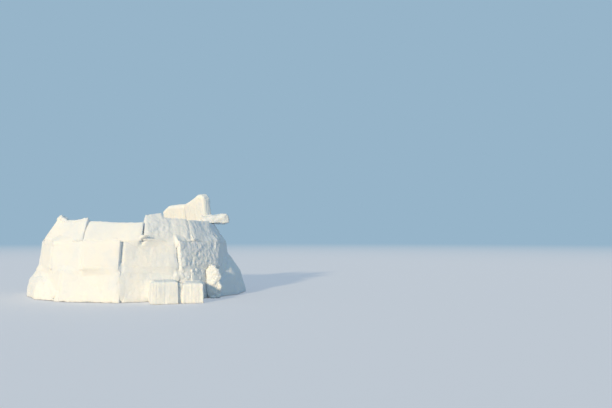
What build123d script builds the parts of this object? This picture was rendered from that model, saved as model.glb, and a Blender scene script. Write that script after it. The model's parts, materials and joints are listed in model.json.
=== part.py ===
from build123d import *
from math import atan2, cos, degrees, pi, radians, sin, sqrt, tan
import os

# A half-built igloo: a ring of cut snow blocks in three leaning courses, open at the top.
# The dome's axis is Z, the ground is z = 0, and sizes are in millimetres.
# A bearing is an angle round the dome in degrees: 0 is the front (-Y) and 90 is the right (+X).

# The dome's profile, measured on the outside of the wall
FOOT_RADIUS = 1320
FIRST_STEP_IN = 55
SECOND_STEP_IN = 45
THIRD_STEP_IN = 150
FIRST_COURSE_HEIGHT = 380
SECOND_COURSE_HEIGHT = 355
THIRD_COURSE_HEIGHT = 235
BLOCK_THICKNESS = 210
WORN_EDGE = 16

# Upright joints of each course: bearing, and how far the joint leans to the right as it rises
FIRST_JOINT_BEARINGS = [
    (-8, 0), (30, 3), (66, -4), (102, 5), (138, -3), (174, 4), (210, -5), (246, 3), (281, -2),
    (317, 4),
]
SECOND_JOINT_BEARINGS = [
    (-31, -4), (-8.8, 2), (23.3, -3), (55.8, 5), (80, -6), (106, 5), (133, -4), (162, 6),
    (192, -5), (222, 4), (251, -6), (278, 5), (304, -3),
]
THIRD_JOINT_BEARINGS = [
    (-32.8, -14), (3.4, 8), (34.4, 12), (59, 14), (97, -6), (122, 8), (147, -7), (175, 6),
    (203, -8), (231, 7), (259, -6), (290, 8),
]

# How far each block stands out of the mean face of its course
FIRST_PROUD = [0, 14, 12, 4, -6, 8, -4, 6, 10, 26]
SECOND_PROUD = [48, -8, 44, 12, 4, -8, 8, 0, -6, 6, 0, 6, 10]
THIRD_PROUD = [6, 2, 20, 4, 6, -6, 6, -4, 5, -3, 18, 4]

# Tops of the third course by block: across it (-1 left to 1 right), and height over the mean rim
THIRD_TOPS = {
    1: [
        (-0.945, -195), (-0.935, -70), (-0.92, -25), (-0.89, 8), (-0.84, 22), (-0.45, 20),
        (-0.1, 10), (0.7, 8), (0.86, 28),
    ],
    2: [(-0.9, 62), (-0.05, 134), (0.02, 70), (0.9, 44)],
    3: [(-1, 45), (1, 45)],
    4: [(-1, 40), (0.1, 0), (1, 0)],
    9: [(-1, 0), (1, 35)],
    10: [(-1, 35), (1, 15)],
    11: [(-0.9, 20), (0.36, 46), (0.5, 106), (0.9, 116)],
    12: [(-0.92, 118), (-0.78, 108), (-0.68, 52), (-0.4, 40), (0.5, 42), (0.78, 78), (0.9, 72)],
}

# Third-course blocks with level tops, the seats of the loose blocks above them
LEVEL_SEATS = (4, 5, 6, 7, 8)

# Two blocks of the next course, stood on the rim at the far right
UPRIGHT_THICKNESS = 160
UPRIGHT_LEAN = 8
LOW_BLOCK_BEARING = 139.5
LOW_BLOCK_TURN = 8
LOW_BLOCK_INSET = 90
LOW_BLOCK_LENGTH = 415
LOW_BLOCK_TOP = [(-1, 325), (0.5, 303), (1, 215)]
TALL_BLOCK_BEARING = 109
TALL_BLOCK_TURN = 21
TALL_BLOCK_INSET = 70
TALL_BLOCK_LENGTH = 420
TALL_BLOCK_TOP = [(-1, 395), (-0.72, 455), (-0.35, 445), (0.4, 365), (1, 315)]

# A spare block lying across the rim at the right, its outer end free
LYING_LENGTH = 400
LYING_WIDTH = 260
LYING_THICKNESS = 185
LYING_BEARING = 92
LYING_OVERHANG = 238
LYING_RISE = 7
LYING_WORN_EDGE = 40

# Two spare blocks stood against the wall in front, their backs cut to its face
SPARE_BLOCK_TAPER = 10
SPARE_BEDDING = 105
SPARE_LEFT_BEARING = 14.1
SPARE_LEFT_TURN = -11
SPARE_LEFT_SIZE = (328, 435, 266)
SPARE_RIGHT_BEARING = 34.3
SPARE_RIGHT_TURN = -38
SPARE_RIGHT_SIZE = (262, 580, 238)

# A rough lump that leans on the wall at the front right
LUMP_BEARING = 45
LUMP_WIDTH = 158
LUMP_HEIGHT = 430
LUMP_REACH = 150

# Loose snow banked against the foot: it stands out by a reach and rises to a height
LEFT_BANK_HEIGHT = FIRST_COURSE_HEIGHT - 15
LEFT_BANK_REACH = 95
RIGHT_BANK_HEIGHT = 540
RIGHT_BANK_REACH = 212
BACK_BANK_HEIGHT = 320
BACK_BANK_REACH = 320
RIGHT_BANK_SWELL = 0.1
BANK_SWELL = 0.2

# Each bank's sections: bearing, then shares of its height and of its reach
LEFT_BANK_BEARINGS = [
    (-124, 0.85, 2.2), (-106, 0.95, 2.45), (-84, 1, 1), (-64, 0.8, 0.8), (-46, 0.4, 0.35),
]
RIGHT_BANK_BEARINGS = [
    (50, 0.35, 0.25), (66, 0.9, 0.75), (84, 1, 1), (106, 0.85, 1.1), (128, 0.64, 1.3),
]
BACK_RIGHT_BANK_BEARINGS = [(128, 1, 0.81), (146, 0.9, 0.9), (164, 1.05, 1), (182, 0.92, 1)]
BACK_LEFT_BANK_BEARINGS = [(182, 0.92, 1), (200, 1, 0.96), (218, 0.88, 0.75), (236, 0.97, 0.45)]

# Stock that is left round a block before it is trimmed
TRIM = 300

# Heights, radii and slopes that follow from the profile
BED_RADII = [FOOT_RADIUS, FOOT_RADIUS - FIRST_STEP_IN]
BED_RADII.append(BED_RADII[1] - SECOND_STEP_IN)
BED_RADII.append(BED_RADII[2] - THIRD_STEP_IN)
BED_HEIGHTS = [0, FIRST_COURSE_HEIGHT, FIRST_COURSE_HEIGHT + SECOND_COURSE_HEIGHT]
BED_HEIGHTS.append(BED_HEIGHTS[2] + THIRD_COURSE_HEIGHT)
RIM_RADIUS = BED_RADII[3]
RIM_HEIGHT = BED_HEIGHTS[3]
TOP_COURSE = len(BED_RADII) - 2
FULL_TURN = degrees(2 * pi)
LEANS = [
    atan2(BED_RADII[i] - BED_RADII[i + 1], BED_HEIGHTS[i + 1] - BED_HEIGHTS[i]) for i in range(3)
]
# The ground bed is level, and each other bed slopes down inwards, square to the wall
BED_TILTS = [0, (LEANS[0] + LEANS[1]) / 2, (LEANS[1] + LEANS[2]) / 2, 0]
UP = Vector(0, 0, 1)


def outward(bearing):
    """The level direction away from the axis at a bearing."""
    return Vector(sin(radians(bearing)), -cos(radians(bearing)), 0)


def along(bearing):
    """The level direction round the dome, towards the right of the block at that bearing."""
    return Vector(cos(radians(bearing)), sin(radians(bearing)), 0)


def bed_point(level, radius):
    """Radius and height of a point on the sloping line of a bed."""
    return radius, BED_HEIGHTS[level] - (BED_RADII[level] - radius) * tan(BED_TILTS[level])


def course_space(level):
    """The ring of space between a course's two beds, wider than its wall."""
    inner = BED_RADII[level + 1] - BLOCK_THICKNESS - TRIM
    outer = BED_RADII[level] + TRIM
    spare = TRIM if level == TOP_COURSE else 0
    upper_inner = bed_point(level + 1, inner)
    upper_outer = bed_point(level + 1, outer)
    corners = [
        bed_point(level, inner),
        bed_point(level, outer),
        (upper_outer[0], upper_outer[1] + spare),
        (upper_inner[0], upper_inner[1] + spare),
    ]
    section = Plane.XZ * make_face(Polyline(*corners, close=True))
    return revolve(section, Axis.Z)


def joint_plane(level, joint):
    """The shared plane of two neighbours: radial, and leaning sideways by the joint's slant."""
    bearing, slant = joint
    middle = (BED_HEIGHTS[level] + BED_HEIGHTS[level + 1]) / 2
    normal = along(bearing) * cos(radians(slant)) - UP * sin(radians(slant))
    return Plane(origin=(0, 0, middle), x_dir=outward(bearing), z_dir=normal)


def face_plane(level, bearing, span, proud):
    """The flat outer face of a block, set so that its mean radius is that of the course."""
    mean = (1 + cos(radians(span / 2))) / 2
    foot = outward(bearing) * (BED_RADII[level] * mean + proud) + UP * BED_HEIGHTS[level]
    head = outward(bearing) * (BED_RADII[level + 1] * mean + proud) + UP * BED_HEIGHTS[level + 1]
    side = along(bearing)
    return Plane(origin=(foot + head) * 0.5, x_dir=side, z_dir=side.cross(head - foot))


def top_prism(plane, half_width, tops):
    """Everything below the outline of a block's top edge, drawn in a plane and cut square to it."""
    slope = plane.y_dir.Z
    edge = [(across * half_width, rise / slope) for across, rise in tops]
    left, right = edge[0][0] - TRIM, edge[-1][0] + TRIM
    outline = [(left, -RIM_HEIGHT), (left, edge[0][1])] + edge[1:-1]
    outline += [(right, edge[-1][1]), (right, -RIM_HEIGHT)]
    section = plane * make_face(Polyline(*outline, close=True))
    return extrude(section, amount=FOOT_RADIUS + TRIM, both=True)


def worn_edge(face, joint, side):
    """The plane that takes off the sharp edge between a block's face and one of its joints."""
    away = joint.z_dir * side
    in_face = away - face.z_dir * away.dot(face.z_dir)
    to_edge = (joint.origin - face.origin).dot(away) / in_face.dot(away)
    edge = face.origin + in_face * to_edge
    normal = (face.z_dir + away).normalized()
    return Plane(origin=edge - normal * (WORN_EDGE / sqrt(2)), z_dir=normal)


def course_block(level, space, start, end, proud, tops, is_seat):
    """One leaning slab, trimmed by its two joints and by the beds above and below."""
    span = end[0] - start[0]
    bearing = (start[0] + end[0]) / 2
    face = face_plane(level, bearing, span, proud)
    half_width = BED_RADII[level] * tan(radians(span / 2))
    height = BED_HEIGHTS[level + 1] - BED_HEIGHTS[level]
    top = (Align.CENTER, Align.CENTER, Align.MAX)
    slab = face * Box(2 * half_width + TRIM, height + 2 * TRIM, BLOCK_THICKNESS, align=top)
    left, right = joint_plane(level, start), joint_plane(level, end)
    slab = split(slab, left, keep=Keep.TOP)
    slab = split(slab, right, keep=Keep.BOTTOM)
    slab = split(slab, worn_edge(face, left, -1), keep=Keep.BOTTOM)
    slab = split(slab, worn_edge(face, right, 1), keep=Keep.BOTTOM)
    block = slab & space
    if level == TOP_COURSE:
        head = face.origin + face.y_dir * ((RIM_HEIGHT - face.origin.Z) / face.y_dir.Z)
        facing = outward(bearing) if is_seat else face.z_dir
        block = block & top_prism(Plane(head, along(bearing), facing), half_width, tops)
    return block


def course(level, joints, prouds, tops):
    """The blocks of one course, in order round the dome."""
    space = course_space(level)
    level_top = [(-1, 0), (1, 0)]
    blocks = []
    for i, proud in enumerate(prouds):
        start = joints[i]
        end = joints[(i + 1) % len(joints)]
        if end[0] < start[0]:
            end = (end[0] + FULL_TURN, end[1])
        top = tops.get(i + 1, level_top)
        blocks.append(course_block(level, space, start, end, proud, top, i + 1 in LEVEL_SEATS))
    return blocks


def upright_block(bearing, turn, inset, length, tops, wall):
    """A slab stood on the rim, leaning in a little, its foot cut to the blocks below."""
    lean = radians(UPRIGHT_LEAN)
    facing = bearing + turn
    normal = outward(facing) * cos(lean) + UP * sin(lean)
    foot = outward(bearing) * (RIM_RADIUS - inset) + UP * RIM_HEIGHT
    face = Plane(origin=foot, x_dir=along(facing), z_dir=normal)
    half = length / 2
    edge = [(across * half, height) for across, height in tops]
    outline = [(-half, -UPRIGHT_THICKNESS)] + edge + [(half, -UPRIGHT_THICKNESS)]
    slab = extrude(face * make_face(Polyline(*outline, close=True)), amount=-UPRIGHT_THICKNESS)
    slab = chamfer(slab.faces().sort_by(SortBy.AREA)[-2:].edges(), WORN_EDGE)
    return trimmed(split(slab, Plane(origin=(0, 0, RIM_HEIGHT)), keep=Keep.TOP), wall)


def lying_block(wall):
    """A slab lying across the rim, trimmed where it beds on the wall."""
    tip = outward(LYING_BEARING) * (RIM_RADIUS + LYING_OVERHANG) + UP * RIM_HEIGHT
    seat = Plane(origin=tip, x_dir=outward(LYING_BEARING), z_dir=UP)
    end = (Align.MAX, Align.CENTER, Align.MIN)
    slab = Box(LYING_LENGTH, LYING_WIDTH, LYING_THICKNESS, align=end)
    slab = chamfer(slab.faces().sort_by(Axis.X)[-1].edges(), LYING_WORN_EDGE)
    rise = LYING_LENGTH * sin(radians(LYING_RISE)) / 2
    slab = seat * Pos(0, 0, -rise) * Rot(0, -LYING_RISE, 0) * slab
    return trimmed(split(slab, Plane(origin=(0, 0, RIM_HEIGHT)), keep=Keep.TOP), wall)


def spare_block(bearing, turn, size, wall):
    """A block stood on the ground with its back cut to the wall's face."""
    width, depth, height = size
    back = outward(bearing) * (FOOT_RADIUS - SPARE_BEDDING)
    middle = Plane(origin=back, x_dir=along(bearing)) * Rot(0, 0, turn)
    front = (Align.CENTER, Align.MAX)
    narrow = SPARE_BLOCK_TAPER
    lower = Rectangle(width, depth, align=front)
    upper = Pos(0, 0, height) * Rectangle(width - 2 * narrow, depth - narrow, align=front)
    block = loft([lower.face(), upper.face()], ruled=True)
    block = chamfer(block.faces().sort_by(Axis.Z)[-1].edges(), WORN_EDGE)
    return trimmed(middle * block, wall)


def rough_lump(wall):
    """A broken lump: uneven five-sided sections, largest at the foot, cut to the wall."""
    sections = [(0, 1.0, 0.9), (0.35, 1.12, 1.0), (0.8, 0.8, 0.72), (1.0, 0.5, 0.4)]
    at = Plane(origin=outward(LUMP_BEARING) * FOOT_RADIUS, x_dir=along(LUMP_BEARING))
    faces = []
    for share, width, reach in sections:
        half, out = LUMP_WIDTH * width / 2, LUMP_REACH * reach
        outline = Polyline(
            (-half, LUMP_REACH), (-half * 0.9, -out * 0.5), (0, -out), (half * 0.8, -out * 0.7),
            (half, LUMP_REACH), close=True,
        )
        faces.append(at * Pos(0, 0, LUMP_HEIGHT * share) * make_face(outline))
    return trimmed(loft(faces, ruled=True), wall)


def bank_section(bearing, height, reach, swell):
    """A bank's cut at a bearing: toe, swelling slope and crest, with its back inside the wall."""
    inner = FOOT_RADIUS - BLOCK_THICKNESS / 2
    toe, crest = (FOOT_RADIUS + reach, 0), (BED_RADII[1] + WORN_EDGE, height)
    swollen = swell * (reach + height) / 2
    middle = ((toe[0] + crest[0]) / 2 + swollen, (toe[1] + crest[1]) / 2 + swollen)
    upright = Plane(origin=(0, 0, 0), x_dir=outward(bearing), z_dir=along(bearing) * -1)
    outline = Polyline(toe, middle, crest, (inner, height), (inner, 0), close=True)
    return upright * make_face(outline)


def bank(sections, height, reach, swell, wall):
    """Snow heaped against the foot, lofted through its sections and cut to the wall."""
    faces = [bank_section(at, height * tall, reach * wide, swell) for at, tall, wide in sections]
    return trimmed(loft(faces, ruled=True), wall)


def trimmed(piece, wall):
    """Cuts a piece to lie against the wall, and keeps its outer part."""
    for block in wall:
        piece = piece - block
    return piece.solids().sort_by(SortBy.VOLUME)[-1]


first = course(0, FIRST_JOINT_BEARINGS, FIRST_PROUD, {})
second = course(1, SECOND_JOINT_BEARINGS, SECOND_PROUD, {})
third = course(TOP_COURSE, THIRD_JOINT_BEARINGS, THIRD_PROUD, THIRD_TOPS)
lower_wall = first + second

pieces = {}
for name, blocks in [("first", first), ("second", second), ("third", third)]:
    for number, block in enumerate(blocks, start=1):
        pieces[f"{name}_course_block_{number:02d}"] = block
pieces["low_upright_block"] = upright_block(
    LOW_BLOCK_BEARING, LOW_BLOCK_TURN, LOW_BLOCK_INSET, LOW_BLOCK_LENGTH, LOW_BLOCK_TOP, third
)
pieces["tall_upright_block"] = upright_block(
    TALL_BLOCK_BEARING, TALL_BLOCK_TURN, TALL_BLOCK_INSET, TALL_BLOCK_LENGTH, TALL_BLOCK_TOP,
    third + [pieces["low_upright_block"]],
)
pieces["lying_block"] = lying_block(third + [pieces["tall_upright_block"]])
pieces["spare_block_left"] = spare_block(
    SPARE_LEFT_BEARING, SPARE_LEFT_TURN, SPARE_LEFT_SIZE, first
)
pieces["spare_block_right"] = spare_block(
    SPARE_RIGHT_BEARING, SPARE_RIGHT_TURN, SPARE_RIGHT_SIZE, first + [pieces["spare_block_left"]]
)
pieces["rough_lump"] = rough_lump(lower_wall + [pieces["spare_block_right"]])
pieces["banked_snow_left"] = bank(
    LEFT_BANK_BEARINGS, LEFT_BANK_HEIGHT, LEFT_BANK_REACH, BANK_SWELL, lower_wall
)
pieces["banked_snow_right"] = bank(
    RIGHT_BANK_BEARINGS, RIGHT_BANK_HEIGHT, RIGHT_BANK_REACH, RIGHT_BANK_SWELL, lower_wall
)
pieces["banked_snow_back_right"] = bank(
    BACK_RIGHT_BANK_BEARINGS, BACK_BANK_HEIGHT, BACK_BANK_REACH, BANK_SWELL, lower_wall
)
pieces["banked_snow_back_left"] = bank(
    BACK_LEFT_BANK_BEARINGS, BACK_BANK_HEIGHT, BACK_BANK_REACH, BANK_SWELL, lower_wall
)

os.makedirs("parts", exist_ok=True)
for name, piece in pieces.items():
    export_step(piece, f"parts/{name}.step")
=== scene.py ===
import json
import math
import random

import bmesh
import bpy
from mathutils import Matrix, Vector
from mathutils.bvhtree import BVHTree

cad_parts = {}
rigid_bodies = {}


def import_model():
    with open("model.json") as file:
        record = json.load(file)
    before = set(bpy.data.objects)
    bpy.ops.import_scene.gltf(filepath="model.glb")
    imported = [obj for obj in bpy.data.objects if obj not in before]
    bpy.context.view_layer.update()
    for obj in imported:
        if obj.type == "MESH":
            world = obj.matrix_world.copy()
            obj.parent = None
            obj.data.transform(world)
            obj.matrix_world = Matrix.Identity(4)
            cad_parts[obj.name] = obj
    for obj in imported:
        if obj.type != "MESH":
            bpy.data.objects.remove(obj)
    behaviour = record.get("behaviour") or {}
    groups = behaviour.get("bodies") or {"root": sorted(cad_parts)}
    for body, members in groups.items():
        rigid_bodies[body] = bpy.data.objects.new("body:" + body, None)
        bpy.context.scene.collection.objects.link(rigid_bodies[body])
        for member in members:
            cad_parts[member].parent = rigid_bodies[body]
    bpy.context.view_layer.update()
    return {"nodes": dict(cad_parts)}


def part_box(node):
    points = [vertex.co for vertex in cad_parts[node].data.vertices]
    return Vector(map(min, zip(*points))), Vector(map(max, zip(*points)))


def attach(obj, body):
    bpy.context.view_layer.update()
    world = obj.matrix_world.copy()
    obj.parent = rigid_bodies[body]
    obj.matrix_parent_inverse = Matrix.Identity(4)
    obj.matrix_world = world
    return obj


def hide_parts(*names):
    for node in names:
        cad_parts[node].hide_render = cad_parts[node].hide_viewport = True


# A half-built igloo of wind-packed snow: sawn blocks in three leaning courses, loose blocks on
# the rim and at the foot, and shovelled snow banked against the wall.
# Everything is in metres; -Y is the front, +X the right, and a bearing turns from 0 at the front
# to 90 at the right.

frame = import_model()

# Sizes of the cells that the snow's surface is laid out in, small where the camera is near, and
# the bearing up to which the wall counts as its front
FRONT_CELL = 0.009
REAR_CELL = 0.0165
BANK_CELL = 0.0145
COVER_CELL = 0.0105
FRONT_HALF_ANGLE = 80

# The photograph's camera: the picture's size, focal length, row of the horizon and column of the
# dome's axis in pixels
PHOTO_WIDTH = 612
PHOTO_HEIGHT = 408
FOCAL_PIXELS = 650
HORIZON_PIXEL = 233.5
DOME_AXIS_PIXEL = 137.5
SENSOR_WIDTH = 36
CAMERA_DISTANCE = 9.43
EYE_HEIGHT = 0.83

# Low sun from the left and the front, and the cool light of an open sky; angles in degrees
SUN_BEARING = -38
SUN_ELEVATION = 16
SUN_STRENGTH = 2.86
SUN_SIZE = 4
SUN_COLOUR = "#ffe6bb"
SKY_COLOUR = "#c0e4ff"
SKY_STRENGTH = 0.545
# The floor, how much of its colour it adds for the camera, and the distances between which it
# fades into the backdrop
FLOOR_COLOUR = "#c3c5cb"
FLOOR_REACH = 60
FLOOR_ROUGHNESS = 0.9
FLOOR_LIFT = 0.40
BACKDROP_COLOUR = "#97b5ca"
HAZE_START = 9
HAZE_END = 50


# ---- small helpers

def linear(hex_colour):
    """An sRGB hex colour as linear red, green, blue and alpha."""
    values = []
    for start in (1, 3, 5):
        value = int(hex_colour[start:start + 2], 16) / 255
        values.append(value / 12.92 if value <= 0.04045 else ((value + 0.055) / 1.055) ** 2.4)
    return (*values, 1.0)


def give(tree, node, inputs):
    """Links or sets a node's inputs by name or number."""
    for key, value in inputs.items():
        if isinstance(value, bpy.types.NodeSocket):
            tree.links.new(value, node.inputs[key])
        else:
            node.inputs[key].default_value = value


def add(tree, kind, inputs=None, **settings):
    """Adds a node with its settings, and gives it its inputs."""
    node = tree.nodes.new(kind)
    for name, value in settings.items():
        setattr(node, name, value)
    give(tree, node, inputs or {})
    return node


def placed(name, data):
    """A new object in the scene for a mesh, a lamp or a camera."""
    thing = bpy.data.objects.new(name, data)
    bpy.context.scene.collection.objects.link(thing)
    return thing


def mesh_of(name, points, edges=(), faces=()):
    """A new mesh of points, edges and faces."""
    mesh = bpy.data.meshes.new(name)
    mesh.from_pydata(points, list(edges), list(faces))
    return mesh


def faced_out(mesh):
    """Turns the faces of a closed mesh outwards."""
    work = bmesh.new()
    work.from_mesh(mesh)
    bmesh.ops.recalc_face_normals(work, faces=work.faces)
    work.to_mesh(mesh)
    work.free()


def made_plain(piece, name):
    """The evaluated mesh of a piece as a new object of its own, without modifiers."""
    depsgraph = bpy.context.evaluated_depsgraph_get()
    mesh = bpy.data.meshes.new_from_object(piece.evaluated_get(depsgraph))
    mesh.name = name
    plain = placed(name, mesh)
    bpy.data.objects.remove(piece)
    return plain


def add_to_igloo(piece, name):
    """Makes a piece plain, and lets it ride the igloo's one body."""
    plain = made_plain(piece, name)
    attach(plain, "root")


def outward(bearing):
    """The level direction away from the dome's axis."""
    return Vector((math.sin(math.radians(bearing)), -math.cos(math.radians(bearing)), 0))


def bearing_of(point):
    """The bearing of a point, from -180 to 180 degrees."""
    return math.degrees(math.atan2(point.x, -point.y))


def middle_of(node):
    """The middle of a node's box."""
    low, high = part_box(node)
    return (low + high) / 2


# ---- materials

# Real grains of a millimetre or two are too fine to show from here: they are drawn about ten
# times as coarse.

# Noise values between which clean snow turns into a patch of the other colour
PATCH_START = 0.42
PATCH_END = 0.68
# Ice's index, and the light that passes through the grains: its share and its reach by colour
ICE_INDEX = 1.31
SNOW_SPECULAR = 0.35
SCATTERED_SHARE = 0.25
SCATTER_REACH = (0.012, 0.014, 0.018)


# The second colour of each snow is painted shade, mixed in where its relief sinks in
def snow_material(name, colour, painted_hollow_shade_colour, patch_colour, patch_size, grain_size, grain_height,
                  roughness):
    """Packed snow: near white, fully rough, a little light passing through its grains."""
    material = bpy.data.materials.new(name)
    material.use_nodes = True
    tree = material.node_tree
    shader = tree.nodes["Principled BSDF"]
    place = add(tree, "ShaderNodeTexCoord").outputs["Object"]

    patches = add(tree, "ShaderNodeTexNoise", {
        "Vector": place, "Scale": 1 / patch_size, "Detail": 3.0, "Roughness": 0.6})
    patch_share = add(tree, "ShaderNodeMapRange", {
        "Value": patches.outputs["Fac"], "From Min": PATCH_START, "From Max": PATCH_END})
    patchy = add(tree, "ShaderNodeMix", {
        0: patch_share.outputs["Result"], 6: linear(colour), 7: linear(patch_colour)},
        data_type="RGBA")
    # Painted shade: where the relief sinks in, the colour is mixed towards a darker blue
    hollow = add(tree, "ShaderNodeAttribute", attribute_name="hollow")
    shaded = add(tree, "ShaderNodeMix", {
        0: hollow.outputs["Fac"], 6: patchy.outputs[2], 7: linear(painted_hollow_shade_colour)},
        data_type="RGBA")

    grain = add(tree, "ShaderNodeTexNoise", {
        "Vector": place, "Scale": 1 / grain_size, "Detail": 4.0, "Roughness": 0.65})
    bump = add(tree, "ShaderNodeBump", {
        "Height": grain.outputs["Fac"], "Strength": 1.0, "Distance": grain_height})

    give(tree, shader, {
        "Base Color": shaded.outputs[2], "Normal": bump.outputs["Normal"],
        "Roughness": roughness, "IOR": ICE_INDEX, "Specular IOR Level": SNOW_SPECULAR,
        "Subsurface Weight": SCATTERED_SHARE, "Subsurface Radius": SCATTER_REACH,
        "Subsurface Scale": 1.0})
    return material


# Wind-packed snow, weathered for a day: matt, finely grained, with blue painted shade in the
# hollows
WEATHERED_SNOW = snow_material(
    "weathered_wind_packed_snow", "#f1f1ef", "#dce5ed", "#e8ecf0", patch_size=0.3,
    grain_size=0.014, grain_height=0.004, roughness=0.85)
# The same snow rubbed smooth with a mitten, which closes its pores and joints
RUBBED_SNOW = snow_material(
    "rubbed_smooth_snow", "#f0f1f1", "#dbe5ee", "#e8edf1", patch_size=0.5,
    grain_size=0.02, grain_height=0.002, roughness=0.75)
# Snow sawn today: cleaner and brighter, with a coarser broken grain
FRESH_SNOW = snow_material(
    "freshly_sawn_snow", "#f5f5f2", "#d6e1eb", "#ebeff2", patch_size=0.2,
    grain_size=0.012, grain_height=0.005, roughness=0.9)
# Loose snow thrown up with a shovel: soft lumps and a coarse grain
BANKED_SNOW = snow_material(
    "shovelled_loose_snow", "#f2f3f2", "#d3dfea", "#e7ecf1", patch_size=0.25,
    grain_size=0.018, grain_height=0.006, roughness=0.92)


# ---- the wall, found by looking at it from outside

COURSES = ("first", "second", "third")
# How far from the dome's axis the probes start, and how often a border's span is halved
FAR_OUT = 3.0
HALVINGS = 14


class Wall:
    """The wall, sawn or with its snow's relief, probed from outside towards the dome's axis."""

    def __init__(self, extra=(), finished=False):
        points, faces, self.owner = [], [], []
        self.rings = [sorted(node for node in frame["nodes"] if node.startswith(f"{name}_course"))
                      for name in COURSES]
        for node in sum(self.rings, list(extra)):
            mesh = bpy.data.objects[node + "_snow"].data if finished else frame["nodes"][node].data
            first = len(points)
            points += [v.co for v in mesh.vertices]
            for face in mesh.polygons:
                faces.append([first + i for i in face.vertices])
                self.owner.append(node)
        self.tree = BVHTree.FromPolygons(points, faces)

    def probe(self, bearing, height):
        """The point on the wall's face at a bearing and height, its normal, and the block."""
        start = outward(bearing) * FAR_OUT + Vector((0, 0, height))
        point, normal, face, _ = self.tree.ray_cast(start, -outward(bearing))
        return (point, normal, self.owner[face]) if point else (None, None, None)

    def border(self, first, last, at, is_before):
        """Halves the span between two values until it closes on the border between blocks."""
        for _ in range(HALVINGS):
            middle = (first + last) / 2
            if is_before(at(middle)):
                first = middle
            else:
                last = middle
        return first, last


# ---- the relief of a snow surface, as one tree of nodes

# Its inputs, as they are where a finish doesn't name them: depths and sizes in metres, the share
# of grooves that comes and goes in patches, and a seed
RELIEF_SIZES = [
    ("Swell", 0.006), ("Swell Size", 0.35), ("Mottle", 0.003), ("Mottle Size", 0.07),
    ("Pits", 0.0), ("Pit Size", 0.05), ("Grooves", 0.0), ("Groove Spacing", 0.03),
    ("Groove Length", 0.3), ("Groove Wander", 0.0), ("Groove Patches", 0.0),
    ("Patch Size", 0.17), ("Edge Wear", 0.008), ("Edge Width", 0.045), ("Chip Size", 0.06),
    ("Grain", 0.0012), ("Grain Size", 0.02), ("Seed", 0.0),
]
# Octaves of a noise: plain swells, soft lumps and broken ones
PLAIN, SOFT, BROKEN_UP = 1.0, 1.5, 2.0
# Noise values between which a patch of grooves fades in
PATCH_EDGE = 0.2
# Noise values at a pit's edge and at its floor
PIT_EDGE = 0.16
PIT_FLOOR = 0.5
# Edges sharper than this wear, by this share of their wear's depth give or take the chips
SHARP = math.radians(25)
MEAN_WEAR = 0.9
# The depth at which the painted shade in the hollows has its full colour
PAINTED_HOLLOW_SHADE_DEPTH = 0.012
# The lowest corner that a surface may reach: it bounds only the height
GROUND = (-100.0, -100.0, 0.0)


def new_tree(name, inputs):
    """A geometry tree with further inputs by name and kind, and its group input's sockets."""
    tree = bpy.data.node_groups.new(name, "GeometryNodeTree")
    sockets = tree.interface
    sockets.new_socket("Geometry", in_out="INPUT", socket_type="NodeSocketGeometry")
    for socket, kind in inputs:
        sockets.new_socket(socket, in_out="INPUT", socket_type="NodeSocket" + kind)
    sockets.new_socket("Geometry", in_out="OUTPUT", socket_type="NodeSocketGeometry")
    return tree, add(tree, "NodeGroupInput").outputs


def end_tree(tree, surface, material):
    """Ends a tree: the surface shaded smooth, realized and given its material."""
    smooth = add(tree, "GeometryNodeSetShadeSmooth", {"Geometry": surface})
    plain = add(tree, "GeometryNodeRealizeInstances", {"Geometry": smooth.outputs[0]})
    finished = add(tree, "GeometryNodeSetMaterial", {
        "Geometry": plain.outputs[0], "Material": material})
    add(tree, "NodeGroupOutput", {"Geometry": finished.outputs[0]})


def noise_height(tree, place, size, depth, seed, detail=BROKEN_UP):
    """Noise that seldom leaves minus to plus a depth, with features of a size."""
    scale = add(tree, "ShaderNodeMath", {0: 1.0, 1: size}, operation="DIVIDE")
    noise = add(tree, "ShaderNodeTexNoise", {
        "Vector": place, "W": seed, "Scale": scale.outputs[0], "Detail": detail},
        noise_dimensions="4D")
    low = add(tree, "ShaderNodeMath", {0: depth, 1: -2.0}, operation="MULTIPLY")
    high = add(tree, "ShaderNodeMath", {0: depth, 1: 2.0}, operation="MULTIPLY")
    return add(tree, "ShaderNodeMapRange", {
        "Value": noise.outputs["Fac"], "To Min": low.outputs[0],
        "To Max": high.outputs[0]}).outputs["Result"]


def moved_out(tree, surface, height):
    """Moves a surface along its normals by a height, and never below the ground."""
    place = add(tree, "GeometryNodeInputPosition").outputs[0]
    normal = add(tree, "GeometryNodeInputNormal").outputs[0]
    moved = add(tree, "ShaderNodeVectorMath", {0: normal, "Scale": height}, operation="SCALE")
    landed = add(tree, "ShaderNodeVectorMath", {0: place, 1: moved.outputs[0]}, operation="ADD")
    above = add(tree, "ShaderNodeVectorMath", {0: landed.outputs[0], 1: GROUND},
                operation="MAXIMUM")
    return add(tree, "GeometryNodeSetPosition", {
        "Geometry": surface, "Position": above.outputs[0]}).outputs[0]


def total(tree, heights):
    """The sum of several heights."""
    result = heights[0]
    for height in heights[1:]:
        result = add(tree, "ShaderNodeMath", {0: result, 1: height}, operation="ADD").outputs[0]
    return result


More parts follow.
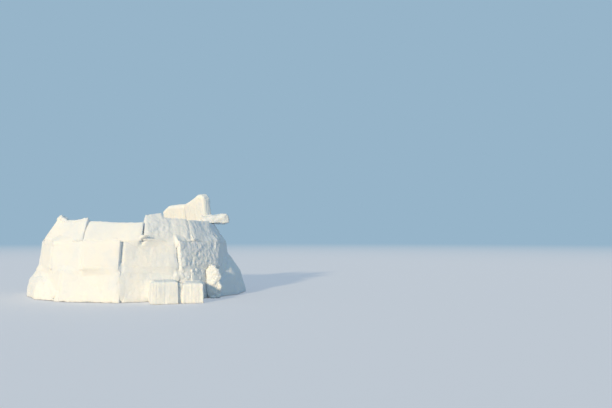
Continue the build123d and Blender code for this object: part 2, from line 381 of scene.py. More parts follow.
def relief_tree():
    """Moves a snow surface along its normals: swell, mottle, pits, tool grooves and worn edges."""
    kinds = [("Sawn Block", "Object"), ("Across", "Vector")]
    kinds += [(name, "Float") for name, _ in RELIEF_SIZES] + [("Snow", "Material")]
    tree, given = new_tree("snow relief", kinds)
    for name, value in RELIEF_SIZES:
        tree.interface.items_tree[name].default_value = value
    place = add(tree, "GeometryNodeInputPosition").outputs[0]
    seed = given["Seed"]

    swell = noise_height(tree, place, given["Swell Size"], given["Swell"], seed)
    mottle = noise_height(tree, place, given["Mottle Size"], given["Mottle"], seed, SOFT)
    grain = noise_height(tree, place, given["Grain Size"], given["Grain"], seed)

    pit_noise = noise_height(tree, place, given["Pit Size"], 0.5, seed, PLAIN)
    pit_depth = add(tree, "ShaderNodeMath", {0: given["Pits"], 1: -1.0}, operation="MULTIPLY")
    pits = add(tree, "ShaderNodeMapRange", {
        "Value": pit_noise, "From Min": PIT_EDGE, "From Max": PIT_FLOOR,
        "To Max": pit_depth.outputs[0]}, interpolation_type="SMOOTHSTEP").outputs["Result"]

    # Grooves run down the block: a noise that is narrow across it and long down it
    sideways = add(tree, "ShaderNodeVectorMath", {0: place, 1: given["Across"]},
                   operation="DOT_PRODUCT")
    wander = noise_height(tree, place, given["Patch Size"], given["Groove Wander"], seed)
    strayed = total(tree, [sideways.outputs["Value"], wander])
    pace = add(tree, "ShaderNodeMath", {0: strayed, 1: given["Groove Spacing"]},
               operation="DIVIDE")
    rise = add(tree, "ShaderNodeSeparateXYZ", {0: place})
    run = add(tree, "ShaderNodeMath", {0: rise.outputs["Z"], 1: given["Groove Length"]},
              operation="DIVIDE")
    stretched = add(tree, "ShaderNodeCombineXYZ", {0: pace.outputs[0], 1: run.outputs[0]})
    even_grooves = noise_height(tree, stretched.outputs[0], 1.0, given["Grooves"], seed, SOFT)
    patches = noise_height(tree, place, given["Patch Size"], 0.5, seed, PLAIN)
    bare = add(tree, "ShaderNodeMath", {0: 1.0, 1: given["Groove Patches"]},
               operation="SUBTRACT")
    share = add(tree, "ShaderNodeMapRange", {
        "Value": patches, "From Min": -PATCH_EDGE, "From Max": PATCH_EDGE,
        "To Min": bare.outputs[0]}, interpolation_type="SMOOTHSTEP")
    grooves = add(tree, "ShaderNodeMath", {0: even_grooves, 1: share.outputs["Result"]},
                  operation="MULTIPLY").outputs[0]

    # Edges wear where the sawn block is sharp, unevenly along their length
    block = add(tree, "GeometryNodeObjectInfo", {"Object": given["Sawn Block"]})
    angle = add(tree, "GeometryNodeInputMeshEdgeAngle")
    sharp = add(tree, "FunctionNodeCompare", {0: angle.outputs[0], 1: SHARP},
                data_type="FLOAT", operation="GREATER_THAN")
    kept = add(tree, "GeometryNodeSeparateGeometry", {
        "Geometry": block.outputs["Geometry"], "Selection": sharp.outputs[0]}, domain="EDGE")
    near = add(tree, "GeometryNodeProximity", {0: kept.outputs["Selection"]},
               target_element="EDGES")
    worn = add(tree, "ShaderNodeMapRange", {
        "Value": near.outputs["Distance"], "From Max": given["Edge Width"], "To Min": 1.0,
        "To Max": 0.0}, interpolation_type="SMOOTHSTEP")
    chipped = noise_height(tree, place, given["Chip Size"], 0.5, seed)
    uneven = add(tree, "ShaderNodeMath", {0: chipped, 1: MEAN_WEAR}, operation="ADD")
    wear = add(tree, "ShaderNodeMath", {0: worn.outputs["Result"], 1: uneven.outputs[0]},
               operation="MULTIPLY")
    wear_depth = add(tree, "ShaderNodeMath", {0: given["Edge Wear"], 1: -1.0},
                     operation="MULTIPLY")
    edges = add(tree, "ShaderNodeMath", {0: wear.outputs[0], 1: wear_depth.outputs[0]},
                operation="MULTIPLY").outputs[0]

    shaped = moved_out(tree, given["Geometry"],
                       total(tree, [swell, mottle, grain, pits, grooves, edges]))
    # Painted shade: the depth of the mottle, pits and grooves, stored as the share of shade colour
    # for the material
    hollow = add(tree, "ShaderNodeMapRange", {
        "Value": total(tree, [mottle, pits, grooves]), "From Max": -PAINTED_HOLLOW_SHADE_DEPTH})
    stored = add(tree, "GeometryNodeStoreNamedAttribute", {
        "Geometry": shaped, "Name": "hollow", "Value": hollow.outputs["Result"]},
        data_type="FLOAT", domain="POINT")
    end_tree(tree, stored.outputs[0], given["Snow"])
    return tree


RELIEF = relief_tree()


def set_inputs(modifier, values):
    """Sets a nodes modifier's inputs by the names of its tree's sockets."""
    for item in modifier.node_group.interface.items_tree:
        if item.item_type == "SOCKET" and item.in_out == "INPUT" and item.name in values:
            modifier[item.identifier] = values[item.name]


# Corners closer than this are one, and faces that meet more flatly than this are one
SAME_PLACE = 0.00002
SAME_FACE = math.radians(1)


def closed_copy(node):
    """A copy of a node's mesh with its loose triangles joined."""
    mesh = frame["nodes"][node].data.copy()
    work = bmesh.new()
    work.from_mesh(mesh)
    bmesh.ops.remove_doubles(work, verts=work.verts, dist=SAME_PLACE)
    bmesh.ops.dissolve_limit(work, angle_limit=SAME_FACE, verts=work.verts, edges=work.edges)
    work.to_mesh(mesh)
    work.free()
    mesh.materials.clear()
    return placed(node + "_sawn", mesh)


# The notch between two blocks of the rim: how far it reaches down, its width at the rim, its
# depth into the wall, and how far its cutter reaches up and out, in sizes of the notch
NOTCH_BETWEEN = ("third_course_block_12", "third_course_block_01")
NOTCH_FALL = 0.22
NOTCH_WIDTH = 0.085
NOTCH_DEPTH = 0.07
NOTCH_OVERSHOOT = 1.5


def cut_notch(sawn):
    """Cuts the wedge that stands open between two rim blocks out of the right-hand one."""
    wall = Wall()
    left, right = NOTCH_BETWEEN
    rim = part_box(left)[1].z
    line = []
    for height in (rim - NOTCH_FALL, rim - NOTCH_FALL / 2):
        _, bearing = wall.border(bearing_of(middle_of(left)), bearing_of(middle_of(right)),
                                 lambda b: wall.probe(b, height), lambda found: found[2] != right)
        line.append(wall.probe(bearing, height)[:2])
    (tip, normal), (mouth, _) = line
    open_end = tip + (mouth - tip) * 2 * NOTCH_OVERSHOOT
    wedge = [tip, open_end, open_end + outward(bearing + 90) * NOTCH_WIDTH * NOTCH_OVERSHOOT]
    points = [p + normal * NOTCH_DEPTH for p in wedge] + [p - normal * NOTCH_DEPTH for p in wedge]
    mesh = mesh_of("notch", points,
                   faces=[(0, 1, 2), (5, 4, 3), (0, 3, 4, 1), (1, 4, 5, 2), (2, 5, 3, 0)])
    faced_out(mesh)
    cutter = placed("notch", mesh)
    cut = sawn.modifiers.new("notch", "BOOLEAN")
    cut.operation = "DIFFERENCE"
    cut.object = cutter
    plain = made_plain(sawn, sawn.name)
    bpy.data.objects.remove(cutter)
    return plain


# How far each smoothing moves a point towards the middle of its neighbours
SOFTENING = 0.5


def snow_surface(piece, cell, material, rounding=4, **values):
    """Divides a piece into fine cells, softens it, and gives it the snow's relief."""
    cells = piece.modifiers.new("cells", "REMESH")
    cells.mode = "VOXEL"
    cells.voxel_size = cell
    soften = piece.modifiers.new("soften", "SMOOTH")
    soften.factor = SOFTENING
    soften.iterations = rounding
    relief = piece.modifiers.new("relief", "NODES")
    relief.node_group = RELIEF
    named = {name.replace("_", " ").title(): value for name, value in values.items()}
    set_inputs(relief, {"Snow": material, **named})


def weathered(node, cell, material, **sizes):
    """Stands for a node with a finely divided copy of it that carries the snow's relief."""
    sawn = closed_copy(node)
    if node == NOTCH_BETWEEN[1]:
        sawn = cut_notch(sawn)
    piece = placed(sawn.name, sawn.data.copy())
    across = outward(bearing_of(middle_of(node)) + 90)
    snow_surface(piece, cell, material, sawn_block=sawn, across=tuple(across), **sizes)
    plain = made_plain(piece, node + "_snow")
    bpy.data.objects.remove(sawn)
    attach(plain, "root")
    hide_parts(node)
    return plain


# ---- the finish of each piece

# Surfaces by how they were worked: sizes in metres for each kind of mark, and how often the
# cells are smoothed
SMOOTH = dict(swell=0.005, mottle=0.0015, mottle_size=0.09, edge_wear=0.006, grain=0.0006)
MOTTLED = dict(swell=0.006, mottle=0.0045, mottle_size=0.06, pits=0.004, pit_size=0.035,
               grooves=0.004, groove_spacing=0.05, groove_length=0.16, groove_wander=0.03,
               groove_patches=0.8, edge_wear=0.010, grain=0.001)
DABBED = dict(swell=0.006, mottle=0.0035, mottle_size=0.065, pits=0.002, pit_size=0.03,
              grooves=0.0015, groove_spacing=0.05, groove_length=0.16, groove_wander=0.03,
              edge_wear=0.010, grain=0.0008)
GROOVED = dict(swell=0.008, mottle=0.007, mottle_size=0.05, pits=0.006, pit_size=0.04,
               grooves=0.011, groove_spacing=0.042, groove_length=0.2, groove_wander=0.05,
               groove_patches=0.85, edge_wear=0.014, edge_width=0.06, grain=0.001)
SAWN = dict(swell=0.003, mottle=0.002, mottle_size=0.05, grooves=0.0035, groove_spacing=0.016,
            groove_length=0.5, edge_wear=0.012, edge_width=0.03, grain=0.001)
CRISP = dict(swell=0.003, mottle=0.002, mottle_size=0.05, grooves=0.006, groove_spacing=0.022,
             groove_length=0.6, edge_wear=0.004, edge_width=0.02, grain=0.001, rounding=2)
BROKEN = dict(swell=0.012, swell_size=0.12, mottle=0.006, mottle_size=0.07, edge_wear=0.016,
              edge_width=0.06, grain=0.001, rounding=8)
RUBBED = dict(swell=0.005, swell_size=0.4, mottle=0.001, mottle_size=0.12, edge_wear=0.003,
              grain=0.0004)
SHOVELLED = dict(swell=0.008, swell_size=0.35, mottle=0.005, mottle_size=0.08, edge_wear=0.008,
                 edge_width=0.06, grain=0.001)
PATTED = dict(SHOVELLED, swell=0.003, mottle=0.003)
ROUGH = dict(swell=0.012, swell_size=0.16, mottle=0.008, mottle_size=0.05, pits=0.014,
             pit_size=0.05, edge_wear=0.02, edge_width=0.05, grain=0.002)

FINISHES = {
    "banked_snow_right": (PATTED, BANKED_SNOW),
    "first_course_block_01": (DABBED, WEATHERED_SNOW),
    "first_course_block_10": (DABBED, WEATHERED_SNOW),
    "second_course_block_02": (DABBED, WEATHERED_SNOW),
    "second_course_block_03": (GROOVED, WEATHERED_SNOW),
    "second_course_block_04": (RUBBED, RUBBED_SNOW),
    "third_course_block_02": (MOTTLED, WEATHERED_SNOW),
    "third_course_block_03": (MOTTLED, WEATHERED_SNOW),
    "third_course_block_04": (RUBBED, RUBBED_SNOW),
}


def finish_of(node):
    """The relief and the material of a block, lump or bank."""
    if node in FINISHES:
        return FINISHES[node]
    if node.startswith("banked"):
        return SHOVELLED, BANKED_SNOW
    if node.startswith("rough"):
        return ROUGH, FRESH_SNOW
    if node.startswith("spare"):
        return CRISP, FRESH_SNOW
    if node.startswith("lying"):
        return BROKEN, FRESH_SNOW
    if node.startswith(("low", "tall")):
        return SAWN, FRESH_SNOW
    return SMOOTH, WEATHERED_SNOW


def cell_of(node):
    """The cell size of a node: fine in front, coarser behind and on the banks."""
    if node.startswith("banked"):
        return BANK_CELL
    if "course" in node and abs(bearing_of(middle_of(node))) > FRONT_HALF_ANGLE:
        return REAR_CELL
    return FRONT_CELL


for number, node in enumerate(sorted(frame["nodes"])):
    relief_sizes, material = finish_of(node)
    piece = weathered(node, cell_of(node), material, seed=number * 3.7, **relief_sizes)


# ---- loose snow pressed into the joints between the blocks

# Joints filled only up to a share of their height, or not at all: they stay dark
FILLED_UP_TO = {
    ("third_course_block_12", "third_course_block_01"): 0.3,
    ("third_course_block_01", "third_course_block_02"): 0,
    ("second_course_block_02", "second_course_block_03"): 0,
}
# Joints with less snow in them than elsewhere
JOINT_FULLNESS = {
    ("second_course_block_01", "second_course_block_02"): 0.7,
}
# Joints rubbed over until no line shows, under a thin cover of snow, and the stretches of the
# beds covered in the same way: the lower course's number and two bearings
COVERED_JOINTS = [
    ("first_course_block_10", "first_course_block_01"),
    ("second_course_block_03", "second_course_block_04"),
    ("third_course_block_03", "third_course_block_04"),
]
COVERED_BEDS = [(0, -98, 58), (1, -104, -36), (1, -8, 30), (1, 36, 104)]
# How full a joint under a cover is
UNDER_COVER = 0.55
# A cover's half width, its thickness at the joint, how deep its borders dip into the faces, how
# deep its root goes, and the strip beside the joint where the faces aren't followed
COVER_REACH = 0.09
COVER_THICKNESS = 0.0015
COVER_DIP = 0.005
COVER_ROOT = 0.03
COVER_GAP = 0.012
# Stations from a cover's middle to its border, how often they are smoothed, and the sections
# over which a cover fades out at its ends
COVER_STEPS = 6
COVER_SMOOTHING = 6
COVER_FADE = 5
COVER_FINISH = dict(swell=0.0, mottle=0.0012, edge_wear=0.0, grain=0.0006, rounding=3)
# The bead of snow in a joint: its width along the face, its depth in an upright joint and in a
# bed, and how far its middle is sunk
FILL_WIDTH = 0.044
FILL_DEPTH = 0.026
BED_DEPTH = 0.021
FILL_SUNK = 0.010
# What all beads share: the length of their steps, the unevenness of their thickness and the size
# of its swellings, and the size and depth of their lumps; and the number of their sides
BEAD_SIZES = {"Step": 0.012, "Unevenness": 0.35, "Swelling Size": 0.07, "Lump Size": 0.022,
              "Lump Depth": 0.0025}
BEAD_SIDES = 14
# Stations up a joint, how far they stay from its ends, degrees between those along a bed, and
# how far above the ground the lowest ones lie
JOINT_STEPS = 24
JOINT_MARGIN = 0.02
BED_STEP = 1.5
GROUND_GAP = 0.004
# The bead that feathers a bank's upper edge, the room above the bank in which the edge is looked
# for, and the shares of its height at which a free end runs down to the ground
FEATHER_WIDTH = 0.15
FEATHER_DEPTH = 0.045
FEATHER_ROOM = 0.1
FOOT_SHARES = (0.75, 0.5, 0.25, 0.03)
# The bead over the seam between two banks
SEAM_WIDTH = 0.16
SEAM_DEPTH = 0.07
# Snow in the gap between the spare blocks, and how far behind their front corners its middle is
GAP_BEHIND = 0.06
GAP_WIDTH = 0.08
GAP_DEPTH = 0.06
GAP_STEPS = 11


def joint_point(before, after, fullness=1.0):
    """A joint's place, sunk in the inner of the two faces that meet there, and its normal."""
    if before[0] is None or after[0] is None:
        return None
    inner = min(before[0], after[0], key=lambda point: point.xy.length)
    normal = (before[1] + after[1]).normalized()
    return inner - normal * FILL_SUNK, normal, fullness


def upright_joint(wall, left, right):
    """Points up the joint between two neighbours of a course."""
    low = max(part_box(left)[0].z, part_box(right)[0].z) + JOINT_MARGIN
    high = min(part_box(left)[1].z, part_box(right)[1].z) - JOINT_MARGIN
    high = low + (high - low) * FILLED_UP_TO.get((left, right), 1)
    fullness = JOINT_FULLNESS.get((left, right), 1)
    if (left, right) in COVERED_JOINTS:
        fullness = UNDER_COVER
    start, end = bearing_of(middle_of(left)), bearing_of(middle_of(right))
    if end < start:
        end += 360
    points = []
    for i in range(JOINT_STEPS + 1):
        height = low + (high - low) * i / JOINT_STEPS
        before, after = wall.border(start, end, lambda b: wall.probe(b, height),
                                    lambda found: found[2] == left)
        found = wall.probe(before, height), wall.probe(after, height)
        if found[0][2] == left and found[1][2] == right:
            points.append(joint_point(*found, fullness))
    return [p for p in points if p]


def bed_joint(wall, lower_ring, upper_ring, start=0, end=360):
    """Points along the bed between two courses, from one bearing to another."""
    low = max(middle_of(n).z for n in lower_ring)
    high = min(middle_of(n).z for n in upper_ring)
    points = []
    for i in range(int((end - start) / BED_STEP) + 1):
        bearing = start + i * BED_STEP
        before, after = wall.border(low, high, lambda z: wall.probe(bearing, z),
                                    lambda found: found[2] in lower_ring)
        found = wall.probe(bearing, before), wall.probe(bearing, after)
        hidden = any(wall.rings[level] == lower_ring and first < (bearing + 180) % 360 - 180 < last
                     for level, first, last in COVERED_BEDS)
        points.append(joint_point(*found, UNDER_COVER if hidden else 1.0))
    return [p for p in points if p]


def fill_tree():
    """Lays a flattened, uneven bead of snow along each line of its geometry."""
    sizes = [(name, "Float") for name in ("Width", "Depth", "Seed", *BEAD_SIZES)]
    tree, given = new_tree("joint fill", sizes + [("Sides", "Int"), ("Snow", "Material")])
    line = add(tree, "GeometryNodeMeshToCurve", {"Mesh": given["Geometry"]})
    facing = add(tree, "GeometryNodeInputNamedAttribute", {"Name": "facing"},
                 data_type="FLOAT_VECTOR")
    faced = add(tree, "GeometryNodeSetCurveNormal", {
        "Curve": line.outputs[0], "Normal": facing.outputs[0]}, mode="FREE")
    even = add(tree, "GeometryNodeResampleCurve", {
        "Curve": faced.outputs[0], "Length": given["Step"]}, mode="LENGTH")
    place = add(tree, "GeometryNodeInputPosition").outputs[0]
    swollen = noise_height(tree, place, given["Swelling Size"], given["Unevenness"],
                           given["Seed"])
    fullness = add(tree, "GeometryNodeInputNamedAttribute", {"Name": "fullness"},
                   data_type="FLOAT")
    uneven = add(tree, "ShaderNodeMath", {0: swollen, 1: 1.0}, operation="ADD")
    thickness = add(tree, "ShaderNodeMath", {0: uneven.outputs[0], 1: fullness.outputs[0]},
                    operation="MULTIPLY")
    ring = add(tree, "GeometryNodeCurvePrimitiveCircle", {
        "Resolution": given["Sides"], "Radius": 0.5})
    size = add(tree, "ShaderNodeCombineXYZ", {0: given["Depth"], 1: given["Width"], 2: 1.0})
    section = add(tree, "GeometryNodeTransform", {
        "Geometry": ring.outputs[0], "Scale": size.outputs[0]})
    bead = add(tree, "GeometryNodeCurveToMesh", {
        "Curve": even.outputs[0], "Profile Curve": section.outputs[0],
        "Scale": thickness.outputs[0], "Fill Caps": True})
    lumps = noise_height(tree, place, given["Lump Size"], given["Lump Depth"], given["Seed"])
    end_tree(tree, moved_out(tree, bead.outputs[0], lumps), given["Snow"])
    return tree


def bank_edge(bank, banks):
    """Points along the line where a bank meets the wall, down to the ground at a free end."""
    probed = Wall(banks)
    points, bearings = [], []
    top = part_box(bank)[1].z + FEATHER_ROOM
    for i in range(int(360 / BED_STEP)):
        bearing = i * BED_STEP
        if probed.probe(bearing, GROUND_GAP)[2] == bank:
            below, above = probed.border(GROUND_GAP, top, lambda z: probed.probe(bearing, z),
                                         lambda found: found[2] == bank)
            bearings.append(bearing)
            points.append(joint_point(probed.probe(bearing, below), probed.probe(bearing, above)))
    for at_start, past in ((True, bearings[0] - BED_STEP), (False, bearings[-1] + BED_STEP)):
        crest = points[0 if at_start else -1][0]
        foot = [probed.probe(past, crest.z * share) for share in FOOT_SHARES]
        if not any(found[2] in banks for found in foot):
            down = [joint_point(found, found) for found in foot]
            points = down[::-1] + points if at_start else points + down
    return points


def fill_joints(name, lines, tree, material, seed, width=FILL_WIDTH, depth=FILL_DEPTH):
    """One piece of fill along several joints."""
    points, edges, normals, fullness = [], [], [], []
    for line in lines:
        first = len(points)
        points += [point for point, _, _ in line]
        normals += [normal for _, normal, _ in line]
        fullness += [share for _, _, share in line]
        edges += [(first + i, first + i + 1) for i in range(len(line) - 1)]
    mesh = mesh_of(name + "_lines", points, edges)
    facing = mesh.attributes.new("facing", "FLOAT_VECTOR", "POINT")
    facing.data.foreach_set("vector", [value for normal in normals for value in normal])
    mesh.attributes.new("fullness", "FLOAT", "POINT").data.foreach_set("value", fullness)
    piece = placed(name + "_lines", mesh)
    fill = piece.modifiers.new("fill", "NODES")
    fill.node_group = tree
    set_inputs(fill, {**BEAD_SIZES, "Width": width, "Depth": depth, "Sides": BEAD_SIDES,
                      "Seed": seed, "Snow": material})
    add_to_igloo(piece, name)


def spare_gap():
    """Points up the gap between the two spare blocks, a little behind their fronts."""
    left, right = (frame["nodes"][node].data.vertices
                   for node in ("spare_block_left", "spare_block_right"))
    left_corner = max((v.co for v in left), key=lambda place: place.x - place.y)
    right_corner = min((v.co for v in right), key=lambda place: place.x + place.y)
    middle = (left_corner + right_corner) / 2
    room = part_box("spare_block_right")[1].z - GROUND_GAP
    line = []
    for i in range(GAP_STEPS + 1):
        place = Vector((middle.x, middle.y + GAP_BEHIND, GROUND_GAP + room * i / GAP_STEPS))
        line.append((place, Vector((0, -1, 0)), 1.0))
    return line


def all_joint_fill():
    """Fills the upright joints of each course and the beds between the courses."""
    wall = Wall()
    tree = fill_tree()
    for level, ring in enumerate(wall.rings):
        lines = []
        for i, left in enumerate(ring):
            right = ring[(i + 1) % len(ring)]
            if FILLED_UP_TO.get((left, right), 1):
                line = upright_joint(wall, left, right)
                if len(line) > 1:
                    lines.append(line)
        fill_joints(f"{COURSES[level]}_course_joint_fill", lines, tree, WEATHERED_SNOW,
                    seed=level * 5.1)
    for level in (0, 1):
        line = bed_joint(wall, wall.rings[level], wall.rings[level + 1])
        fill_joints(f"{COURSES[level]}_bed_fill", [line], tree, WEATHERED_SNOW,
                    seed=20 + level * 5.1, depth=BED_DEPTH)
    fill_joints("spare_block_gap_snow", [spare_gap()], tree, FRESH_SNOW, seed=35,
                width=GAP_WIDTH, depth=GAP_DEPTH)
    banks = ["banked_snow_right", "banked_snow_back_right", "banked_snow_back_left",
             "banked_snow_left"]
    for bank in banks:
        fill_joints(bank + "_feather", [bank_edge(bank, banks)], tree, BANKED_SNOW, seed=40,
                    width=FEATHER_WIDTH, depth=FEATHER_DEPTH)
    probed = Wall(banks)
    seams = [upright_joint(probed, left, right) for left, right in zip(banks, banks[1:])]
    fill_joints("banked_snow_seams", seams, tree, BANKED_SNOW, seed=45, width=SEAM_WIDTH,
                depth=SEAM_DEPTH)


all_joint_fill()


# ---- thin covers over the joints that were rubbed over

def section_across(probe, spread):
    """Points across a joint from one face to the other, smoothed over the step between them."""
    offsets = [COVER_GAP + (COVER_REACH - COVER_GAP) * i / (COVER_STEPS - 1)
               for i in range(COVER_STEPS)]
    offsets = [-offset for offset in reversed(offsets)] + offsets
    faces = [probe(offset) for offset in offsets]
    if any(found[0] is None for found in faces):
        return None
    places = [found[0] for found in faces]
    facing = sum((found[1] for found in faces), Vector()).normalized()
    smooth = list(places)
    for _ in range(COVER_SMOOTHING):
        smooth = ([smooth[0]]
                  + [(a + 2 * b + c) / 4 for a, b, c in zip(smooth, smooth[1:], smooth[2:])]
                  + [smooth[-1]])
    lift = max((place - even).dot(facing) for place, even in zip(places, smooth))
    line = []
    for offset, even in zip(offsets, smooth):
        share = (1 - (offset / COVER_REACH) ** 2) ** 2 * spread
        line.append(even + facing * ((lift + COVER_THICKNESS) * share - COVER_DIP * (1 - share)))
    return line + [line[-1] - facing * COVER_ROOT, line[0] - facing * COVER_ROOT]


def cover(name, sections, seed):
    """One thin cover swept through the sections across a joint."""
    sections = [section for section in sections if section]
    count = len(sections[0])
    points = [point for section in sections for point in section]
    faces = [tuple(range(count)), tuple(reversed(range(len(points) - count, len(points))))]
    for i in range(len(sections) - 1):
        for j in range(count):
            here, beside = i * count + j, i * count + (j + 1) % count
            faces.append((here, here + count, beside + count, beside))
    mesh = mesh_of(name, points, faces=faces)
    faced_out(mesh)
    piece = placed(name + "_swept", mesh)
    snow_surface(piece, COVER_CELL, WEATHERED_SNOW, seed=seed, **COVER_FINISH)
    add_to_igloo(piece, name)


def faded(i, count):
    """The share of a cover's full height at a station: it fades out towards both ends."""
    return min(1, i / COVER_FADE, (count - 1 - i) / COVER_FADE)


def all_covers():
    """Covers on the chosen upright joints and along the beds."""
    sawn, wall = Wall(), Wall(finished=True)
    for number, (left, right) in enumerate(COVERED_JOINTS):
        line = upright_joint(sawn, left, right)
        sections = []
        for i, (place, _, _) in enumerate(line):
            around = math.degrees(1 / place.xy.length)
            bearing = bearing_of(place)
            sections.append(section_across(
                lambda offset: wall.probe(bearing + offset * around, place.z),
                faded(i, len(line))))
        cover(f"rubbed_joint_cover_{number + 1}", sections, seed=31 + number)
    for number, (level, start, end) in enumerate(COVERED_BEDS):
        line = bed_joint(sawn, sawn.rings[level], sawn.rings[level + 1], start, end)
        sections = [section_across(lambda offset: wall.probe(bearing_of(place), place.z + offset),
                                   faded(i, len(line)))
                    for i, (place, _, _) in enumerate(line)]
        cover(f"rubbed_bed_cover_{number + 1}", sections, seed=37 + number)


all_covers()


# ---- clods, lumps and crumbs of snow

# A clod is a ball turned at random and stretched by these shares; turns are in radians
LEAST_STRETCH = (0.7, 0.7, 0.7)
MOST_STRETCH = (1.2, 1.2, 1.2)
MOST_TURN = (6.28, 6.28, 6.28)
# How finely the balls of a heap and of crumbs are divided, and the size and depth of their lumps
HEAP_DIVISIONS = 3
CRUMB_DIVISIONS = 2
HEAP_ROUGH_SIZE = 0.05
CRUMB_ROUGHNESS = 0.003
CRUMB_ROUGH_SIZE = 0.012


def clod_tree():
    """Lays uneven clods on points that carry a radius."""
    tree, given = new_tree("snow clods", [
        ("Divisions", "Int"), ("Roughness", "Float"), ("Rough Size", "Float"), ("Seed", "Int"),
        ("Snow", "Material")])
    ball = add(tree, "GeometryNodeMeshIcoSphere", {
        "Radius": 1.0, "Subdivisions": given["Divisions"]})
    turn = add(tree, "FunctionNodeRandomValue", {
        0: (0.0, 0.0, 0.0), 1: MOST_TURN, "Seed": given["Seed"]}, data_type="FLOAT_VECTOR")
    stretch = add(tree, "FunctionNodeRandomValue", {
        0: LEAST_STRETCH, 1: MOST_STRETCH, "Seed": given["Seed"]}, data_type="FLOAT_VECTOR")
    radius = add(tree, "GeometryNodeInputNamedAttribute", {"Name": "clod_radius"},
                 data_type="FLOAT")
    size = add(tree, "ShaderNodeVectorMath", {0: stretch.outputs[0], "Scale": radius.outputs[0]},
               operation="SCALE")
    places = add(tree, "GeometryNodeMeshToPoints", {"Mesh": given["Geometry"]})
    laid = add(tree, "GeometryNodeInstanceOnPoints", {
        "Points": places.outputs[0], "Instance": ball.outputs[0], "Rotation": turn.outputs[0],
        "Scale": size.outputs[0]})
    real = add(tree, "GeometryNodeRealizeInstances", {"Geometry": laid.outputs[0]})
    place = add(tree, "GeometryNodeInputPosition").outputs[0]
    rough = noise_height(tree, place, given["Rough Size"], given["Roughness"], 3.0)
    end_tree(tree, moved_out(tree, real.outputs[0], rough), given["Snow"])
    return tree


CLODS = clod_tree()


def clods_on(name, clods, material, seed, divisions, roughness, rough_size):
    """An object with a clod at each place and radius."""
    mesh = mesh_of(name + "_places", [place for place, _ in clods])
    mesh.attributes.new("clod_radius", "FLOAT", "POINT").data.foreach_set(
        "value", [radius for _, radius in clods])
    piece = placed(name + "_places", mesh)
    laid = piece.modifiers.new("clods", "NODES")
    laid.node_group = CLODS
    set_inputs(laid, {"Divisions": divisions, "Roughness": roughness, "Rough Size": rough_size,
                      "Seed": seed, "Snow": material})
    return piece


def heap(name, clods, seed, rounding, roughness, material=WEATHERED_SNOW):
    """Clods pressed together into one lumpy mass."""
    piece = clods_on(name, clods, material, seed, HEAP_DIVISIONS, roughness, HEAP_ROUGH_SIZE)
    snow_surface(piece, FRONT_CELL, material, rounding=rounding, seed=seed * 2.3, swell=0.003,
                 mottle=roughness, mottle_size=0.035, pits=roughness, pit_size=0.03,
                 edge_wear=0.0, grain=0.0008)
    add_to_igloo(piece, name)


def clinging(wall, chance, count, bearings, heights, radii, sunk):
    """Clods at chance places within a patch of the wall, sunk by a share of their radius."""
    clods = []
    for _ in range(count):
        bearing, height = chance.uniform(*bearings), chance.uniform(*heights)
        radius = chance.uniform(*radii)
        point, normal, _ = wall.probe(bearing, height)
        clods.append((point - normal * radius * sunk, radius))
    return clods


# The ears on the rim, snow pressed over the corners of its blocks: each row's corners, by bearing
# and height, its distance from the dome's axis and its clods' radius
EARS = [
    ([(-84, 0.985), (-70, 1.038), (-60, 0.985)], 1.03, 0.034),
    ([(-82, 0.975), (-70, 1.015), (-62, 0.980)], 0.99, 0.038),
    ([(-49, 0.968), (-37, 1.006)], 1.02, 0.030),
]
# Degrees between the clods of a row
EAR_STEP = 2


def ridge(corners, away, radius):
    """Clods in a close row along the rim, from corner to corner of a line."""
    row = []
    for (first, low), (last, high) in zip(corners, corners[1:]):
        count = round((last - first) / EAR_STEP)
        for i in range(count + 1):
            share = i / count
            row.append((outward(first + (last - first) * share) * away
                        + Vector((0, 0, low + (high - low) * share)), radius))
    return row


# Clods on the wall: their count, the bearings and heights between which they cling, their radii,
# and the share of a radius by which they are sunk
RUBBLE = (60, (20, 47), (0.25, 0.38), (0.030, 0.048), 0.66)
LUMP_CLODS = (40, (41, 49), (0.01, 0.43), (0.022, 0.040), 0.6)


def all_heaps():
    """Rubble on the ledge, the ears on the rim, and broken snow on the rough lump."""
    wall = Wall(["rough_lump", "spare_block_left", "spare_block_right", "banked_snow_right"])
    chance = random.Random(11)
    heap("ledge_rubble", clinging(wall, chance, *RUBBLE), seed=3, rounding=14, roughness=0.005)
    ears = [clod for ear in EARS for clod in ridge(*ear)]
    heap("rim_ears", ears, seed=5, rounding=8, roughness=0.002)
    heap("lump_clods", clinging(wall, chance, *LUMP_CLODS), seed=8, rounding=8, roughness=0.006,
         material=FRESH_SNOW)


# The height from which crumbs drop, and how level a face is that holds them
DROP_HEIGHT = 2
LEAST_LEVEL = 0.55


def settled(tree, chance, count, bearings, reaches, radii, heights):
    """Crumbs at chance places within a ring, dropped until they rest on something level."""
    crumbs = []
    for _ in range(count):
        bearing, reach = chance.uniform(*bearings), chance.uniform(*reaches)
        radius = chance.uniform(*radii)
        start = outward(bearing) * reach + Vector((0, 0, DROP_HEIGHT))
        point, normal, _, _ = tree.ray_cast(start, Vector((0, 0, -1)))
        if point and normal.z > LEAST_LEVEL and heights[0] < point.z < heights[1]:
            crumbs.append((point, radius))
    return crumbs


# Where crumbs lie: how many are thrown, the bearings and distances from the axis between which
# they fall, their radii, and the heights at which they are kept
CRUMB_PLACES = [
    (60, (60, 260), (0.86, 1.10), (0.004, 0.010), (0.8, 1.2)),
    (150, (110, 250), (1.20, 1.60), (0.006, 0.018), (0.01, 0.6)),
]


def all_crumbs():
    """Loose crumbs from sawing and shovelling, on the rim and the banks."""
    everything = Wall([n for n in frame["nodes"] if "course" not in n]).tree
    chance = random.Random(29)
    crumbs = []
    for count, bearings, reaches, radii, heights in CRUMB_PLACES:
        crumbs += settled(everything, chance, count, bearings, reaches, radii, heights)
    piece = clods_on("snow_crumbs", crumbs, FRESH_SNOW, 4, CRUMB_DIVISIONS, CRUMB_ROUGHNESS,
                     CRUMB_ROUGH_SIZE)
    add_to_igloo(piece, "snow_crumbs")


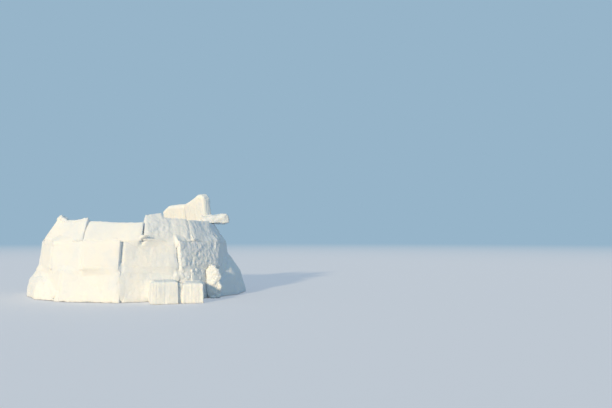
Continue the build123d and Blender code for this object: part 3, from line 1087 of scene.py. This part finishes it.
all_heaps()
all_crumbs()


# ---- floor, light and camera

def plain_floor():
    """A plain pale floor, far wider than the view, that fades into the backdrop."""
    far = FLOOR_REACH
    corners = [(-far, -far, 0), (far, -far, 0), (far, far, 0), (-far, far, 0)]
    mesh = mesh_of("floor", corners, faces=[(0, 1, 2, 3)])
    floor = placed("floor", mesh)
    material = bpy.data.materials.new("plain_floor")
    material.use_nodes = True
    tree = material.node_tree
    shader = tree.nodes["Principled BSDF"]
    rays = add(tree, "ShaderNodeLightPath").outputs["Is Camera Ray"]
    lift = add(tree, "ShaderNodeMath", {0: rays, 1: FLOOR_LIFT}, operation="MULTIPLY")
    give(tree, shader, {
        "Base Color": linear(FLOOR_COLOUR), "Roughness": FLOOR_ROUGHNESS,
        "Emission Color": linear(FLOOR_COLOUR), "Emission Strength": lift.outputs[0]})
    place = add(tree, "ShaderNodeTexCoord").outputs["Object"]
    away = add(tree, "ShaderNodeVectorMath", {0: place}, operation="LENGTH")
    distance = add(tree, "ShaderNodeMapRange", {
        "Value": away.outputs["Value"], "From Min": HAZE_START, "From Max": HAZE_END},
        interpolation_type="SMOOTHSTEP")
    hazy = add(tree, "ShaderNodeMath", {0: distance.outputs["Result"], 1: rays},
               operation="MULTIPLY")
    haze = add(tree, "ShaderNodeEmission", {"Color": linear(BACKDROP_COLOUR)})
    blended = add(tree, "ShaderNodeMixShader", {
        0: hazy.outputs[0], 1: shader.outputs[0], 2: haze.outputs[0]})
    give(tree, tree.nodes["Material Output"], {"Surface": blended.outputs[0]})
    mesh.materials.append(material)


def turned(thing, direction, forward):
    """Turns a lamp or camera so that its forward axis points in a direction."""
    thing.rotation_mode = "QUATERNION"
    thing.rotation_quaternion = direction.to_track_quat(forward, "Y")


def sun_and_sky():
    """A low warm sun and an even cool sky."""
    sun = bpy.data.lights.new("low_sun", "SUN")
    sun.energy = SUN_STRENGTH
    sun.angle = math.radians(SUN_SIZE)
    sun.color = linear(SUN_COLOUR)[:3]
    lamp = placed("low_sun", sun)
    height = math.radians(SUN_ELEVATION)
    turned(lamp, outward(SUN_BEARING) * math.cos(height) + Vector((0, 0, math.sin(height))), "Z")

    world = bpy.data.worlds.new("sky")
    world.use_nodes = True
    bpy.context.scene.world = world
    tree = world.node_tree
    light = tree.nodes["Background"]
    give(tree, light, {"Color": linear(SKY_COLOUR), "Strength": SKY_STRENGTH})
    seen = add(tree, "ShaderNodeBackground", {
        "Color": linear(BACKDROP_COLOUR), "Strength": 1.0})
    rays = add(tree, "ShaderNodeLightPath")
    either = add(tree, "ShaderNodeMixShader", {
        0: rays.outputs["Is Camera Ray"], 1: light.outputs[0], 2: seen.outputs[0]})
    give(tree, tree.nodes["World Output"], {"Surface": either.outputs[0]})


def camera():
    """The photograph's camera: eye height, distance and lens from its horizon and scale."""
    lens = bpy.data.cameras.new("camera")
    lens.sensor_width = SENSOR_WIDTH
    lens.lens = FOCAL_PIXELS / PHOTO_WIDTH * SENSOR_WIDTH
    view = placed("camera", lens)
    bpy.context.scene.camera = view
    yaw = math.atan((PHOTO_WIDTH / 2 - DOME_AXIS_PIXEL) / FOCAL_PIXELS)
    pitch = math.atan((HORIZON_PIXEL - PHOTO_HEIGHT / 2) / FOCAL_PIXELS)
    view.location = (0, -CAMERA_DISTANCE, EYE_HEIGHT)
    look = Vector((math.sin(yaw) * math.cos(pitch), math.cos(yaw) * math.cos(pitch),
                   math.sin(pitch)))
    turned(view, look, "-Z")


plain_floor()
sun_and_sky()
camera()
bpy.context.scene.view_settings.view_transform = "Standard"
